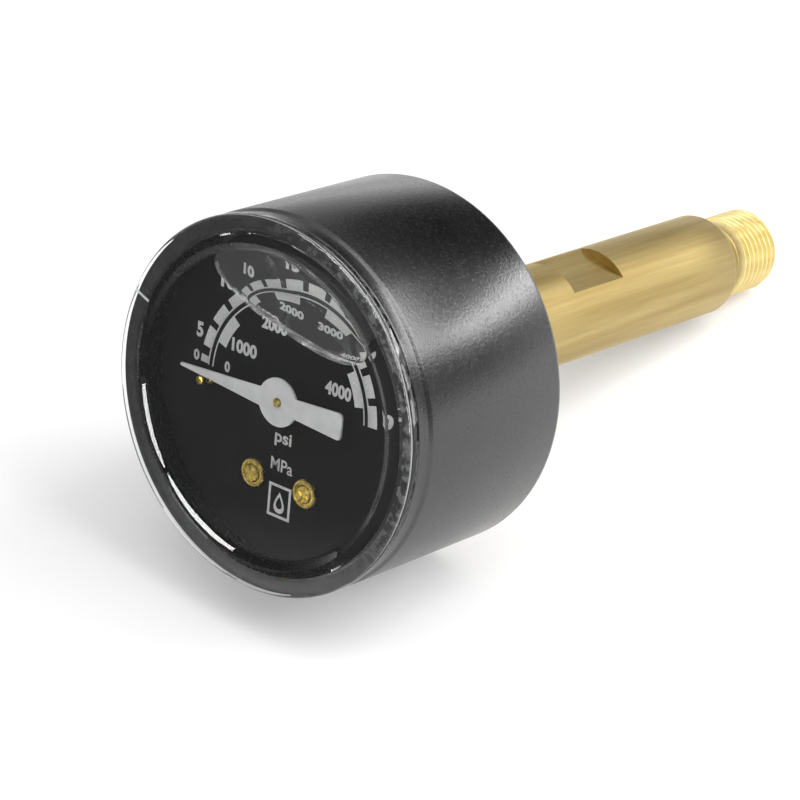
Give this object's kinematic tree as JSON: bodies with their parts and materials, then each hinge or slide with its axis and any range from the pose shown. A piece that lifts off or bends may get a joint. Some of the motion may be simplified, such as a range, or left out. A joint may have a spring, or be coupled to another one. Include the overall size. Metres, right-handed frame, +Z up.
{
  "type": "pressure gauge",
  "caption": "Liquid-filled round pressure gauge with a black cup case, clear window, centre-back brass stem with wrench flats and a male pipe thread.",
  "frame": {"origin": "on the gauge axis at the stem's shoulder, where the stem seats on a port", "axes": "+Y along the stem towards its threaded end, the dial faces -Y, +Z up on the dial, +X to the right seen from the dial"},
  "size_m": [0.04, 0.0865, 0.04],
  "materials": {
    "case_black": "fine-grained satin black",
    "window_clear": "clear moulded plastic",
    "seal_rubber": "matt black rubber",
    "screw_steel": "turned steel",
    "stem_brass": "turned and milled brass",
    "screw_brass": "bright brass",
    "movement_brass": "stamped brass",
    "tube_bronze": "drawn phosphor bronze",
    "dial_black": "matt black with white print",
    "pointer_white": "light grey-white paint"
  },
  "bodies": {
    "housing": {"case": "case_black", "window": "window_clear", "window_seal": "seal_rubber", "fill_plug": "seal_rubber", "stem_seal": "seal_rubber", "case_screw_left": "screw_steel", "case_screw_right": "screw_steel", "stem": "stem_brass", "restrictor_screw": "stem_brass", "dial_plate": "dial_black", "dial_screw_left": "screw_brass", "dial_screw_right": "screw_brass", "dial_spacer_left": "movement_brass", "dial_spacer_right": "movement_brass", "stop_pin": "screw_brass", "movement_front_plate": "movement_brass", "movement_back_plate": "movement_brass", "pillar_lower_left": "movement_brass", "pillar_lower_right": "movement_brass", "pillar_upper": "movement_brass", "pillar_screw": "screw_steel", "movement_screw_left": "screw_steel", "movement_screw_right": "screw_steel", "bourdon_tube": "tube_bronze", "hairspring": "tube_bronze", "hairspring_stud": "screw_steel"},
    "sector": {"sector_gear": "movement_brass", "sector_arbor": "screw_steel", "link_pin_sector": "screw_steel"},
    "pointer": {"pointer": "pointer_white", "pinion_arbor": "movement_brass", "hairspring_collet": "movement_brass"},
    "tube_tip": {"tube_tip": "movement_brass", "link_pin_tip": "screw_steel"},
    "link": {"link": "movement_brass"}
  },
  "joints": [
    {"name": "sector_swing", "type": "hinge", "parent": "housing", "child": "sector", "pos_m": [0, -0.066, 0.00875], "axis": [0, 1, 0], "range_deg": [-30, 0], "stiffness_Nm_per_rad": 0.0002, "springref_deg": 11.46},
    {"name": "pointer_spin", "type": "hinge", "parent": "housing", "child": "pointer", "pos_m": [0, -0.0733, 0], "axis": [0, 1, 0], "range_deg": [0, 180], "deforming": ["hairspring"]},
    {"name": "tube_tip_swing", "type": "hinge", "parent": "housing", "child": "tube_tip", "pos_m": [0, -0.0664, 0], "axis": [0, 1, 0], "range_deg": [-12.95, 0], "deforming": ["bourdon_tube"]},
    {"name": "link_swing", "type": "hinge", "parent": "sector", "child": "link", "pos_m": [0.00483, -0.0648, 0.00746], "axis": [0, 1, 0], "range_deg": [0, 30]}
  ],
  "couplings": [
    {"joint": "pointer_spin", "follows": "sector_swing", "ratio": -6},
    {"joint": "tube_tip_swing", "follows": "sector_swing", "ratio": 0.43073},
    {"joint": "link_swing", "follows": "sector_swing", "ratio": -1}
  ]
}
